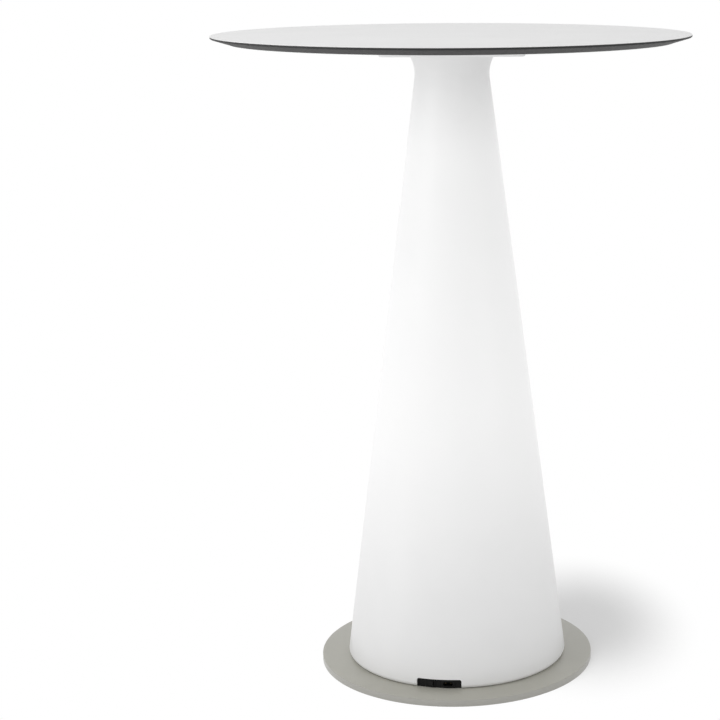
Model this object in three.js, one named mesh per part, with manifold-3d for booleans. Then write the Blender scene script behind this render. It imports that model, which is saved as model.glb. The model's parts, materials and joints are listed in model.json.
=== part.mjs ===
// A light-up bar table: a round bevelled top on a hollow, translucent tapered stem that is bolted
// to a steel disc and holds an upright lamp. Millimetres, +Z up. The origin is on the floor under
// the middle of the base, and -Y is the side with the notch in the foot of the stem.
import * as THREE from 'three';
import { mergeGeometries, mergeVertices } from 'three/addons/utils/BufferGeometryUtils.js';
import Module from 'manifold-3d';

const wasm = await Module();
wasm.setup();

const degree = Math.PI / 180;

// Whole table
const tableHeight = 1100;
const gap = 0.3; // between pieces that fit in or against each other
const overrun = 1; // how far a cutting tool passes the face that it opens
const socketShare = 0.7; // radius of the socket in a screw's head, as a share of the screw's radius
const roundSides = 60; // sides of the large round pieces
const middleSides = 30; // sides of the lamp's round pieces
const screwSides = 10; // sides of screws and their holes
const cornerSteps = 3; // steps in a rounded corner
const edgeSteps = 4; // steps in the stem's rounded foot edge
const flareSteps = 7; // steps in the stem's flare
const wireSteps = 8; // steps along a wire
const leadSteps = 44; // steps along the lamp's lead

// Top: a compact board with a dark core and white sheets, bevelled underneath
const topRadius = 400;
const faceSheet = 0.5;
const coreThickness = 12;
const backingSheet = 0.5;
const bevelRun = 30;
const edgeLand = 3; // height of the upright edge that the bevel leaves

// Pan between the top and the stem, pressed from sheet steel
const panWidth = 238;
const panDepth = 18;
const panSheet = 2.5;
const panCorner = 10;
const panFlange = 22;

// Screws that hold the pan to the top, one near each corner of the flange
const topScrewInset = 14; // from the flange's edges
const topScrewRadius = 3;
const topScrewHeadRadius = 5.5;
const topScrewHeadHeight = 3.2;
const topScrewGrip = 7; // length of the screw in the board

// Stem: a tapered shell with a flared neck and a turned-in foot
const stemWall = 5;
const neckRadius = 62.7; // at the narrowest place
const flareReach = 24; // half axes of the flare's ellipse
const flareRise = 38;
const flareHeight = 34; // from the narrowest place up to the pan
const footRadius = 193.6; // where the straight flank would meet the base plate
const footEdgeRound = 7;
const footFlangeWidth = 43;
const footFlangeThickness = 8;
const headThickness = 12;
const headBore = 38;

// Bolts that clamp the stem's head between the pan and a tapped ring inside the neck
const collarPitch = 50;
const collarBoltCount = 4;
const collarBoltRadius = 4;
const collarBoltHeadRadius = 8;
const collarBoltHeadHeight = 5;
const collarRingWidth = 17;
const collarRingThickness = 6;

// Base plate, its glides and the bolts that clamp the stem's foot to it with a ring inside
const baseRadius = 240;
const baseThickness = 12;
const baseEdgeChamfer = 0.8;
const padRadius = 15;
const padThickness = 2;
const padProud = 0.5; // how far the glides hold the plate off the floor
const padInset = 26;
const padCount = 4;
const baseBoltCount = 4;
const baseBoltInset = 25.5; // from the stem's outer face
const baseBoltRadius = 4;
const baseBoltHeadRadius = 8;
const baseBoltHeadHeight = 4.2;
const footRingWidth = 28;
const footRingThickness = 5;

// Notch in the foot of the stem
const notchTurn = -9.5 * degree;
const notchWidth = 77;
const notchHeight = 16;
const notchCorner = 4;

// Driver housing: a box inside the stem with a nose that fills the notch
const noseWidth = 75;
const noseHeight = 15.4;
const noseCorner = 3.5;
const noseRecess = 5.5; // from the stem's outer face at the plate
const housingWall = 2;
const housingWidth = 110;
const housingHeight = 40;
const housingCorner = 6;
const noseReach = 56; // from the housing's front to the nose's face
const housingDepth = 70;
const coverThickness = 2.5;
const coverScrewRadius = 1.5;
const coverScrewHeadRadius = 2.8;
const coverScrewHeadHeight = 1.8;
const coverScrewLength = 10;
const coverPostRadius = 4;
const housingScrewRadius = 2;
const housingScrewHeadRadius = 4;
const housingScrewHeadHeight = 2.6;
const housingScrewGrip = 7;
const housingScrewInset = 13; // from the housing's sides
const driverWidth = 64;
const driverDepth = 44;
const driverHeight = 22;
const driverCorner = 3;

// Switch and power inlet, side by side in the nose
const deviceTurn = 4.6 * degree;
const bezelHeight = 12.4;
const bezelThickness = 1.5;
const bezelLip = 1.2; // how far the bezel passes the body behind it, each side
const deviceHeight = 9.6;
const deviceWall = 0.8;
const deviceDepth = 16;
const deviceCorner = 1.2;
const rockerWidth = 11.2;
const rockerSweepRoom = 1; // room beside the rocker for its swing
const rockerTilt = 10 * degree;
const rockerPivotDepth = 3; // behind the bezel's face
const rockerValley = 3.4; // from the pivot to the middle of the rocker's face
const rockerBack = 2;
const rockerCavityDepth = 8;
const pivotPinRadius = 1;
const pivotPinLength = 0.6;
const terminalWidth = 4.8;
const terminalThickness = 0.8;
const terminalLength = 6;
const inletWidth = 20;
const inletRecessWidth = 16.4;
const inletRecessHeight = 7.6;
const inletRecessCorner = 3.2;
const inletRecessDepth = 13;
const inletPinRadius = 1.2;
const inletPinSpacing = 8.6;
const inletPinReach = 9; // from the recess's floor
const inletPinTail = 5; // behind the inlet
const wireRadius = 0.9;

// Lamp: foot, post, boards and diffuser
const lampFootRadius = 50;
const lampFootThickness = 4;
const lampFootScrewCount = 3;
const lampFootScrewPitch = 38;
const lampFootScrewRadius = 2.5;
const lampFootScrewHeadRadius = 4.6;
const lampFootScrewHeadHeight = 3;
const lampFootScrewGrip = 8;
const lampHubRadius = 22;
const lampHubHeight = 38;
const postWidth = 24;
const postBore = 8;
const postHeadroom = 145; // from the top of the post to the pan
const postEndMargin = 2; // how far the post passes the upper cap
const leadRadius = 2.5;
const leadHeight = 20; // above the base plate, where it leaves the housing
const leadBend = 10;
const glandRadius = 4.2;
const glandNutRadius = 7;
const glandNutLength = 8;
const connectorWidth = 9;
const connectorHeight = 16;
const connectorTongueWidth = 5;
const connectorTongueHeight = 3;
const boardWidth = 14;
const boardThickness = 1.6;
const boardStart = 310; // above the base plate
const chipsPerBoard = 12;
const chipWidth = 5;
const chipHeight = 0.8;
const diffuserRadius = 32;
const diffuserWall = 2;
const diffuserMargin = 20; // how far the diffuser passes the boards at each end
const capLip = 2.5;
const capThickness = 3;
const capRimHeight = 10;
const capHubRadius = 21;
const capHubHeight = 14;
const grubScrewRadius = 2;
const endPlugThickness = 3;
const endPlugSpigot = 8;

// Places that follow from the sizes
const topUnderside = tableHeight - faceSheet - coreThickness - backingSheet;
const panFloor = topUnderside - panDepth;
const plateTop = padProud + baseThickness;
const stemHeight = panFloor - plateTop;
const neckHeight = stemHeight - flareHeight;
const flareEnd = Math.asin(flareHeight / flareRise);
const baseBoltPitch = footRadius - baseBoltInset;
const noseRadius = footRadius - noseRecess;
const housingFront = noseRadius - noseReach; // distances from the table's axis
const housingBack = housingFront - housingDepth;

// The straight flank runs from the foot to where it touches the flare's ellipse
const flankSpread = flareRise * (footRadius - neckRadius - flareReach);
const flankClimb = flareReach * neckHeight;
const flareStart = -Math.atan2(flankSpread, flankClimb)
  - Math.asin(flareReach * flareRise / Math.hypot(flankSpread, flankClimb));
const flankSlope = -Math.tan(flareStart) * flareReach / flareRise;
const flankLean = Math.atan(flankSlope);

// Finishes
function finish(color, roughness, metalness = 0) {
  return new THREE.MeshStandardMaterial({ color, roughness, metalness });
}
const whiteSheet = finish(0xedeeee, 0.45);
const darkCore = finish(0x47484a, 0.6);
const whiteCoat = finish(0xefefed, 0.5);
const stemPlastic = finish(0xf6f5f2, 0.45);
const greyCoat = finish(0xa3a29b, 0.32);
const zincSteel = finish(0xb4b6b8, 0.4, 1);
const brass = finish(0xc2a15a, 0.4, 1);
const aluminium = finish(0xc4c7ca, 0.35, 1);
const blackPlastic = finish(0x1a1819, 0.5);
const blackRubber = finish(0x202020, 0.85);
const greyPlastic = finish(0x8c9094, 0.55);
const opalPlastic = finish(0xf7f6f0, 0.4);
const boardWhite = finish(0xf0f0ea, 0.5);

// Turn a geometry into a solid that can be joined and cut
function solid(geometry) {
  const bare = geometry.clone();
  bare.deleteAttribute('normal');
  bare.deleteAttribute('uv');
  const merged = mergeVertices(bare);
  const corners = merged.index.array;
  const kept = [];
  for (let i = 0; i < corners.length; i += 3) {
    const [a, b, c] = [corners[i], corners[i + 1], corners[i + 2]];
    if (a !== b && b !== c && c !== a) kept.push(a, b, c);
  }
  const vertProperties = Float32Array.from(merged.attributes.position.array);
  const mesh = new wasm.Mesh({ numProp: 3, vertProperties, triVerts: Uint32Array.from(kept) });
  return new wasm.Manifold(mesh);
}

function geometryOf(result) {
  const mesh = result.getMesh();
  const geometry = new THREE.BufferGeometry();
  geometry.setAttribute('position', new THREE.BufferAttribute(mesh.vertProperties, mesh.numProp));
  geometry.setIndex(new THREE.BufferAttribute(mesh.triVerts, 1));
  geometry.computeVertexNormals();
  return geometry;
}

function combine(operation, first, others) {
  return geometryOf(others.reduce((sum, next) => sum[operation](solid(next)), solid(first)));
}

const join = (first, ...others) => combine('add', first, others);
const cut = (first, ...tools) => combine('subtract', first, tools);
const common = (first, ...others) => combine('intersect', first, others);

// Revolved piece standing on z = 0: pairs of radius and height, outside face going up
function lathe(pairs, sides = roundSides) {
  const points = pairs.map(([radius, height]) => new THREE.Vector2(radius, height));
  return new THREE.LatheGeometry(points, sides).rotateX(Math.PI / 2);
}

function disc(radius, height, sides = roundSides) {
  return lathe([[0, 0], [radius, 0], [radius, height], [0, height]], sides);
}

function ring(bore, radius, height, sides = roundSides) {
  return lathe([[bore, 0], [radius, 0], [radius, height], [bore, height], [bore, 0]], sides);
}

function box(width, depth, height) {
  return new THREE.BoxGeometry(width, depth, height).translate(0, 0, height / 2);
}

// Points of an arc of an ellipse
function arc(centre, halfWidth, halfHeight, from, to, steps) {
  return Array.from({ length: steps + 1 }, (_, i) => {
    const angle = from + (to - from) * i / steps;
    return [centre[0] + halfWidth * Math.cos(angle), centre[1] + halfHeight * Math.sin(angle)];
  });
}

function roundedRectangle(width, depth, corner) {
  const x = width / 2 - corner;
  const y = depth / 2 - corner;
  const shape = new THREE.Shape();
  [[x, y], [-x, y], [-x, -y], [x, -y]].forEach(([cx, cy], quarter) => {
    shape.absarc(cx, cy, corner, quarter * Math.PI / 2, (quarter + 1) * Math.PI / 2);
  });
  return shape;
}

function slab(shape, height) {
  const options = { depth: height, bevelEnabled: false, curveSegments: cornerSteps };
  return new THREE.ExtrudeGeometry(shape, options);
}

// Block that runs from the table's axis towards -Y, flat below and with rounded upper corners
function arch(width, height, corner, reach, drop = 0) {
  const shape = new THREE.Shape();
  shape.moveTo(-width / 2, -drop);
  shape.lineTo(width / 2, -drop);
  shape.absarc(width / 2 - corner, height - corner, corner, 0, Math.PI / 2);
  shape.absarc(-width / 2 + corner, height - corner, corner, Math.PI / 2, Math.PI);
  return slab(shape, reach).rotateX(Math.PI / 2);
}

// Tube along a curve
function tube(curve, radius, steps) {
  const section = new THREE.Shape().absarc(0, 0, radius, 0, 2 * Math.PI);
  const options = { extrudePath: curve, steps, curveSegments: cornerSteps + 1, bevelEnabled: false };
  return new THREE.ExtrudeGeometry(section, options);
}

// Screw with its head above z = 0 and its shaft below, with a round socket in the head
function screw(radius, length, headRadius, headHeight) {
  const socket = radius * socketShare;
  return lathe([
    [0, -length], [radius, -length], [radius, 0], [headRadius, 0], [headRadius, headHeight],
    [socket, headHeight], [socket, headHeight / 2], [0, headHeight / 2],
  ], screwSides);
}

// The same shape once at each place, as one cutting or joining geometry
function copies(geometry, places) {
  return mergeGeometries(places.map(([x, y]) => geometry.clone().translate(x, y, 0)));
}

// Places on a circle, the first one at a turn from -Y
function around(count, radius, start = 0) {
  return Array.from({ length: count }, (_, i) => {
    const angle = start + i * 2 * Math.PI / count;
    return [radius * Math.sin(angle), -radius * Math.cos(angle)];
  });
}

// Places at the four corners of a rectangle, in turn
function cornersOf(width, depth, y = 0) {
  return [[1, 1], [-1, 1], [-1, -1], [1, -1]].map(([sx, sy]) => [sx * width / 2, y + sy * depth / 2]);
}

const table = new THREE.Group();
const notchGroup = new THREE.Group(); // what faces the notch turns with it
notchGroup.rotation.z = notchTurn;
notchGroup.position.z = plateTop;
table.add(notchGroup);

function add(name, geometry, material, z = 0, parent = table) {
  const mesh = new THREE.Mesh(geometry, material);
  mesh.name = name;
  mesh.position.z = z;
  parent.add(mesh);
  return mesh;
}

// The same piece once at each place, numbered from 1
function addEach(name, geometry, places, material, z = 0, parent = table) {
  places.forEach(([x, y], i) => {
    const mesh = add(`${name}_${i + 1}`, geometry, material, z, parent);
    mesh.position.x = x;
    mesh.position.y = y;
  });
}

// Top
const flangeWidth = panWidth + 2 * panFlange;
const topScrewSpan = flangeWidth - 2 * topScrewInset;
const topScrewPlaces = cornersOf(topScrewSpan, topScrewSpan);
const topScrewHoles = copies(
  disc(topScrewRadius + gap, topScrewGrip + gap + overrun, screwSides), topScrewPlaces,
);
const underRadius = topRadius - bevelRun;
const core = lathe([
  [0, 0], [underRadius, 0], [topRadius, coreThickness - edgeLand], [topRadius, coreThickness],
  [0, coreThickness],
]);
const coreHoles = topScrewHoles.clone().translate(0, 0, -backingSheet - overrun);
const sheetHoles = topScrewHoles.clone().translate(0, 0, -overrun);
add('top_face_sheet', disc(topRadius, faceSheet), whiteSheet, tableHeight - faceSheet);
add('top_core', cut(core, coreHoles), darkCore, topUnderside + backingSheet);
add('top_backing_sheet', cut(disc(underRadius, backingSheet), sheetHoles), whiteSheet, topUnderside);
const topScrew = screw(
  topScrewRadius, topScrewGrip + panSheet, topScrewHeadRadius, topScrewHeadHeight,
).rotateX(Math.PI);
addEach('top_screw', topScrew, topScrewPlaces, zincSteel, topUnderside - panSheet);

// Pan
const collarBoltPlaces = around(collarBoltCount, collarPitch, Math.PI / collarBoltCount);
const panInside = panWidth - 2 * panSheet;
const pan = cut(
  join(
    slab(roundedRectangle(panWidth, panWidth, panCorner), panDepth),
    slab(roundedRectangle(flangeWidth, flangeWidth, panCorner + panFlange), panSheet)
      .translate(0, 0, panDepth - panSheet),
  ),
  slab(roundedRectangle(panInside, panInside, panCorner - panSheet), panDepth)
    .translate(0, 0, panSheet),
  copies(disc(collarBoltRadius + gap, panDepth, screwSides), collarBoltPlaces)
    .translate(0, 0, -overrun),
  copies(disc(topScrewRadius + gap, panDepth, screwSides), topScrewPlaces)
    .translate(0, 0, overrun),
);
add('top_mounting_pan', pan, whiteCoat, panFloor);

// Bolts and ring that hold the stem's head to the pan
const collarHole = disc(
  collarBoltRadius + gap, headThickness + collarRingThickness + 2 * overrun, screwSides,
);
const collarHoles = copies(collarHole, collarBoltPlaces).translate(0, 0, -overrun);
const collarRingBore = collarPitch - collarRingWidth / 2;
const collarBolt = screw(
  collarBoltRadius, panSheet + headThickness + collarRingThickness,
  collarBoltHeadRadius, collarBoltHeadHeight,
);
addEach('collar_bolt', collarBolt, collarBoltPlaces, zincSteel, panFloor + panSheet);
add('collar_ring', cut(
  ring(collarRingBore, collarRingBore + collarRingWidth, collarRingThickness, middleSides),
  collarHoles,
), zincSteel, panFloor - headThickness - collarRingThickness);

// Stem, standing on z = 0
const levelWall = stemWall / Math.cos(flankLean);
const flareCentre = neckRadius + flareReach;
const headRise = flareHeight - headThickness;
const flankInside = (height) => footRadius - flankSlope * height - levelWall;
const footEdgeCentre = [
  footRadius - flankSlope * footEdgeRound - footEdgeRound / Math.cos(flankLean), footEdgeRound,
];
const footOpening = footRadius - footFlangeWidth;
const stemProfile = [
  [footOpening, 0],
  ...arc(footEdgeCentre, footEdgeRound, footEdgeRound, -Math.PI / 2, flankLean, edgeSteps),
  ...arc(
    [flareCentre, neckHeight], flareReach, flareRise,
    Math.PI - flareStart, Math.PI - flareEnd, flareSteps,
  ),
  [headBore, stemHeight],
  [headBore, stemHeight - headThickness],
  ...arc(
    [flareCentre - levelWall, neckHeight], flareReach, flareRise,
    Math.PI - Math.asin(headRise / flareRise), Math.PI - flareStart, cornerSteps,
  ),
  [flankInside(footFlangeThickness), footFlangeThickness],
  [footOpening, footFlangeThickness],
  [footOpening, 0],
];
const baseBoltPlaces = around(baseBoltCount, baseBoltPitch, notchTurn + Math.PI / baseBoltCount);
const footHole = disc(
  baseBoltRadius + gap, footFlangeThickness + footRingThickness + 2 * overrun, screwSides,
);
const footHoles = copies(footHole, baseBoltPlaces).translate(0, 0, -overrun);
const notch = arch(notchWidth, notchHeight, notchCorner, footRadius + overrun, overrun)
  .rotateZ(notchTurn);
const stem = cut(
  lathe(stemProfile), footHoles,
  collarHoles.clone().translate(0, 0, stemHeight - headThickness), notch,
);
add('body_shell', stem, stemPlastic, plateTop);

// Ring and bolts that hold the stem's foot to the base plate
const footRingBore = baseBoltPitch - footRingWidth / 2;
add('foot_ring', cut(
  ring(footRingBore, footRingBore + footRingWidth, footRingThickness), footHoles,
  notch.clone().translate(0, 0, -footFlangeThickness),
), zincSteel, plateTop + footFlangeThickness);
const baseBoltEnd = baseThickness + footFlangeThickness + footRingThickness;
const boltSocket = baseBoltRadius * socketShare;
const baseBolt = lathe([
  [0, baseBoltHeadHeight / 2], [boltSocket, baseBoltHeadHeight / 2], [boltSocket, 0],
  [baseBoltHeadRadius, 0], [baseBoltRadius, baseBoltHeadHeight], [baseBoltRadius, baseBoltEnd],
  [0, baseBoltEnd],
], screwSides);
addEach('base_bolt', baseBolt, baseBoltPlaces, zincSteel, padProud);

// Base plate, standing on z = 0, with its holes
const plateEdge = baseRadius - baseEdgeChamfer;
const plate = lathe([
  [0, 0], [plateEdge, 0], [baseRadius, baseEdgeChamfer],
  [baseRadius, baseThickness - baseEdgeChamfer], [plateEdge, baseThickness], [0, baseThickness],
]);
const boltHole = lathe([
  [0, -overrun], [baseBoltHeadRadius + gap, -overrun], [baseBoltHeadRadius + gap, 0],
  [baseBoltRadius + gap, baseBoltHeadHeight], [baseBoltRadius + gap, baseThickness + overrun],
  [0, baseThickness + overrun],
], screwSides);
const padPlaces = around(padCount, baseRadius - padInset, Math.PI / padCount);
const tappedHole = (radius, grip) => disc(radius + gap, grip + overrun + gap, screwSides)
  .translate(0, 0, baseThickness - grip - gap);
const housingMiddle = -(housingFront + housingBack) / 2;
const housingScrewX = housingWidth / 2 - housingScrewInset;
const housingScrewPlaces = [[-housingScrewX, housingMiddle], [housingScrewX, housingMiddle]];
const lampFootScrewPlaces = around(
  lampFootScrewCount, lampFootScrewPitch, Math.PI / lampFootScrewCount,
);
const basePlate = cut(
  plate,
  copies(boltHole, baseBoltPlaces),
  copies(disc(padRadius + gap, padThickness - padProud + overrun, 2 * screwSides), padPlaces)
    .translate(0, 0, -overrun),
  copies(tappedHole(housingScrewRadius, housingScrewGrip), housingScrewPlaces).rotateZ(notchTurn),
  copies(tappedHole(lampFootScrewRadius, lampFootScrewGrip), lampFootScrewPlaces).rotateZ(notchTurn),
);
add('base_plate', basePlate, greyCoat, padProud);
addEach('base_pad', disc(padRadius, padThickness, 2 * screwSides), padPlaces, blackRubber);

// Driver housing
const housingInside = housingWidth - 2 * housingWall;
const housingInsideDepth = housingDepth - 2 * housingWall;
const noseStart = housingFront - housingWall;
const noseSolid = common(
  arch(noseWidth, noseHeight, noseCorner, footRadius).translate(0, -noseStart, 0),
  disc(noseRadius, noseHeight),
);
const noseInsideHeight = noseHeight - 2 * housingWall;
const noseInside = common(
  box(noseWidth - 2 * housingWall, footRadius, noseInsideHeight)
    .translate(0, -noseStart - footRadius / 2 + overrun, housingWall),
  disc(noseRadius - housingWall, noseHeight),
);
const coverScrewInset = housingWall + coverPostRadius;
const coverPostPlaces = cornersOf(
  housingWidth - 2 * coverScrewInset, housingDepth - 2 * coverScrewInset, housingMiddle,
);
const coverScrewPlaces = coverPostPlaces.filter((_, i) => i % 2 === 0);
const boxInside = cut(
  slab(roundedRectangle(housingInside, housingInsideDepth, housingCorner - housingWall), housingHeight)
    .translate(0, housingMiddle, housingWall),
  copies(disc(coverPostRadius, housingHeight + overrun, screwSides), coverPostPlaces)
    .translate(0, 0, housingWall - overrun),
  copies(box(coverPostRadius, coverPostRadius, housingHeight + overrun), cornersOf(
    housingInside - coverPostRadius, housingInsideDepth - coverPostRadius, housingMiddle,
  )).translate(0, 0, housingWall - overrun),
);
const deviceMiddle = noseHeight / 2;
const switchCavityWidth = rockerWidth + 2 * rockerSweepRoom;
const switchBodyWidth = switchCavityWidth + 2 * deviceWall;
const panelHole = (width) => box(width + 2 * gap, 2 * deviceDepth, deviceHeight + 2 * gap)
  .translate(0, -noseRadius, deviceMiddle - deviceHeight / 2 - gap);
const glandHole = new THREE.CylinderGeometry(
  glandRadius + gap, glandRadius + gap, 4 * housingWall, screwSides,
).translate(0, -housingBack - housingWall / 2, leadHeight);
const housing = cut(
  join(
    slab(roundedRectangle(housingWidth, housingDepth, housingCorner), housingHeight)
      .translate(0, housingMiddle, 0),
    noseSolid,
  ),
  join(boxInside, noseInside),
  panelHole(switchBodyWidth).rotateZ(-deviceTurn),
  panelHole(inletWidth).rotateZ(deviceTurn),
  glandHole,
  copies(disc(housingScrewRadius + gap, housingHeight, screwSides), housingScrewPlaces)
    .translate(0, 0, -overrun),
  copies(disc(coverScrewRadius + gap, coverScrewLength + overrun, screwSides), coverScrewPlaces)
    .translate(0, 0, housingHeight + coverThickness - coverScrewLength - gap),
);
const cover = cut(
  slab(roundedRectangle(housingWidth, housingDepth, housingCorner), coverThickness)
    .translate(0, housingMiddle, 0),
  copies(disc(coverScrewRadius + gap, coverThickness + 2 * overrun, screwSides), coverScrewPlaces)
    .translate(0, 0, -overrun),
);
add('driver_housing', housing, blackPlastic, 0, notchGroup);
add('driver_housing_cover', cover, blackPlastic, housingHeight, notchGroup);
const coverScrew = screw(
  coverScrewRadius, coverScrewLength, coverScrewHeadRadius, coverScrewHeadHeight,
);
addEach(
  'cover_screw', coverScrew, coverScrewPlaces, zincSteel, housingHeight + coverThickness, notchGroup,
);
const housingScrew = screw(
  housingScrewRadius, housingScrewGrip + housingWall, housingScrewHeadRadius, housingScrewHeadHeight,
);
addEach('housing_screw', housingScrew, housingScrewPlaces, zincSteel, housingWall, notchGroup);
add(
  'led_driver',
  slab(roundedRectangle(driverWidth, driverDepth, driverCorner), driverHeight)
    .translate(0, housingMiddle, 0),
  greyPlastic, housingWall, notchGroup,
);

// Switch and inlet: each stands in its own group, turned round the table's axis
function deviceGroup(turn) {
  const group = new THREE.Group();
  group.rotation.z = turn;
  group.position.z = deviceMiddle;
  notchGroup.add(group);
  return group;
}
const switchGroup = deviceGroup(-deviceTurn);
const inletGroup = deviceGroup(deviceTurn);
const bezelBack = -(noseRadius + gap);
const bezelFront = bezelBack - bezelThickness;

// Block with a rounded outline as seen from the front, from one place along Y to another
function faceBlock(width, height, corner, from, to) {
  return slab(roundedRectangle(width, height, corner), from - to).rotateX(Math.PI / 2)
    .translate(0, from, 0);
}

function panelBody(width) {
  return join(
    faceBlock(width + 2 * bezelLip, bezelHeight, deviceCorner, bezelBack, bezelFront),
    faceBlock(width, deviceHeight, deviceCorner, bezelFront + deviceDepth, bezelBack - bezelThickness / 2),
  );
}
const pivotY = bezelFront + rockerPivotDepth;
const rockerHeight = deviceHeight - 2 * (deviceWall + gap);
const pivotHole = disc(pivotPinRadius + gap, deviceHeight + 2 * overrun, screwSides)
  .translate(0, pivotY, -deviceHeight / 2 - overrun);
const switchFrame = cut(
  panelBody(switchBodyWidth),
  box(switchCavityWidth, rockerCavityDepth + overrun, deviceHeight - 2 * deviceWall)
    .translate(0, bezelFront + (rockerCavityDepth - overrun) / 2, deviceWall - deviceHeight / 2),
  pivotHole,
);
add('switch_frame', switchFrame, blackPlastic, 0, switchGroup);

const rockerEdge = rockerValley + rockerWidth / 2 * Math.tan(rockerTilt);
const rockerOutline = new THREE.Shape([
  [-rockerWidth / 2, -rockerEdge], [0, -rockerValley], [rockerWidth / 2, -rockerEdge],
  [rockerWidth / 2, rockerBack], [-rockerWidth / 2, rockerBack],
].map(([x, y]) => new THREE.Vector2(x, y)));
const pinSpan = rockerHeight + 2 * pivotPinLength;
const rocker = join(
  slab(rockerOutline, rockerHeight).translate(0, 0, -rockerHeight / 2),
  disc(pivotPinRadius, pinSpan, screwSides).translate(0, 0, -pinSpan / 2),
).rotateZ(-rockerTilt).translate(0, pivotY, 0);
add('switch_rocker', rocker, blackPlastic, 0, switchGroup);

const deviceBack = bezelFront + deviceDepth;
const terminal = box(terminalThickness, terminalLength, terminalWidth)
  .translate(0, deviceBack + gap + terminalLength / 2, -terminalWidth / 2);
const terminalX = switchBodyWidth / 4;
addEach('switch_terminal', terminal, [[-terminalX, 0], [terminalX, 0]], brass, 0, switchGroup);

const recessFloor = bezelFront + inletRecessDepth;
const pinPlaces = [[-inletPinSpacing / 2, 0], [inletPinSpacing / 2, 0]];
const alongY = (radius, from, to) => new THREE.CylinderGeometry(radius, radius, to - from, screwSides)
  .translate(0, (from + to) / 2, 0);
const inlet = cut(
  panelBody(inletWidth),
  faceBlock(inletRecessWidth, inletRecessHeight, inletRecessCorner, recessFloor, bezelFront - overrun),
  copies(alongY(inletPinRadius + gap, recessFloor - overrun, deviceBack + overrun), pinPlaces),
);
add('power_inlet', inlet, blackPlastic, 0, inletGroup);
const pinEnd = deviceBack + inletPinTail;
const inletPin = alongY(inletPinRadius, recessFloor - inletPinReach, pinEnd);
addEach('inlet_pin', inletPin, pinPlaces, brass, 0, inletGroup);

// Wires in the housing, between the backs of the switch and the inlet and the driver
function behindDevice(turn, x, y) {
  return new THREE.Vector3(x, y, 0).applyAxisAngle(new THREE.Vector3(0, 0, 1), turn);
}
const terminalEnd = deviceBack + gap + terminalLength + gap;
const driverFace = housingMiddle - driverDepth / 2 - gap;
const wireToDriver = (start, x) => new THREE.QuadraticBezierCurve3(
  start, new THREE.Vector3(start.x, (start.y + driverFace) / 2, 0), new THREE.Vector3(x, driverFace, 0),
);
const switchOut = behindDevice(-deviceTurn, -terminalX, terminalEnd);
const switchIn = behindDevice(-deviceTurn, terminalX, terminalEnd);
const inletLive = behindDevice(deviceTurn, -inletPinSpacing / 2, pinEnd + gap);
const inletNeutral = behindDevice(deviceTurn, inletPinSpacing / 2, pinEnd + gap);
const bridgeReach = new THREE.Vector3(0, (driverFace - terminalEnd) / 2, 0);
const bridge = new THREE.CubicBezierCurve3(
  switchIn, switchIn.clone().add(bridgeReach), inletLive.clone().add(bridgeReach), inletLive,
);
const wires = {
  switch_wire: tube(wireToDriver(switchOut, -driverWidth / 4), wireRadius, wireSteps),
  inlet_wire: tube(wireToDriver(inletNeutral, driverWidth / 4), wireRadius, wireSteps),
  bridge_wire: tube(bridge, wireRadius, wireSteps),
};
Object.entries(wires).forEach(([name, wire]) => {
  add(name, wire, blackRubber, deviceMiddle, notchGroup);
});

// Lead from the housing into the lamp's post
const glandInner = -housingBack - housingWall - gap;
const glandOuter = -housingBack + gap;
const gland = new THREE.LatheGeometry([
  [leadRadius + gap, glandInner], [glandRadius, glandInner], [glandRadius, glandOuter],
  [glandNutRadius, glandOuter], [glandNutRadius, glandOuter + glandNutLength],
  [leadRadius + gap, glandOuter + glandNutLength], [leadRadius + gap, glandInner],
].map(([radius, y]) => new THREE.Vector2(radius, y)), screwSides);
add('lead_gland', gland, blackRubber, leadHeight, notchGroup);

const connectorBottom = boardStart + connectorHeight / 2;
const leadPath = new THREE.CurvePath();
leadPath.add(new THREE.LineCurve3(
  new THREE.Vector3(0, glandInner, leadHeight), new THREE.Vector3(0, -leadBend, leadHeight),
));
leadPath.add(new THREE.QuadraticBezierCurve3(
  new THREE.Vector3(0, -leadBend, leadHeight), new THREE.Vector3(0, 0, leadHeight),
  new THREE.Vector3(0, 0, leadHeight + leadBend),
));
leadPath.add(new THREE.LineCurve3(
  new THREE.Vector3(0, 0, leadHeight + leadBend), new THREE.Vector3(0, 0, connectorBottom - gap),
));
add('lamp_lead', tube(leadPath, leadRadius, leadSteps), blackRubber, 0, notchGroup);

// Lamp, standing on the base plate
const postLength = stemHeight - postHeadroom - lampFootThickness;
const diffuserTop = stemHeight - postHeadroom - postEndMargin - capHubHeight - capThickness;
const diffuserBottom = boardStart - diffuserMargin;
const diffuserLength = diffuserTop - diffuserBottom;
const boardLength = diffuserLength - 2 * diffuserMargin;
const leadSlot = box(2 * (leadRadius + gap), lampHubRadius + overrun, leadBend + 2 * leadRadius)
  .translate(0, -(lampHubRadius + overrun) / 2, leadHeight - leadRadius - gap);
const lampFoot = cut(
  join(
    disc(lampFootRadius, lampFootThickness, middleSides),
    disc(lampHubRadius, lampHubHeight, middleSides),
  ),
  box(postWidth + 2 * gap, postWidth + 2 * gap, lampHubHeight).translate(0, 0, lampFootThickness),
  leadSlot,
  copies(disc(lampFootScrewRadius + gap, lampFootThickness + 2 * overrun, screwSides), lampFootScrewPlaces)
    .translate(0, 0, -overrun),
);
add('lamp_foot', lampFoot, aluminium, 0, notchGroup);
const lampFootScrew = screw(
  lampFootScrewRadius, lampFootScrewGrip + lampFootThickness,
  lampFootScrewHeadRadius, lampFootScrewHeadHeight,
);
addEach(
  'lamp_foot_screw', lampFootScrew, lampFootScrewPlaces, zincSteel, lampFootThickness, notchGroup,
);

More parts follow.
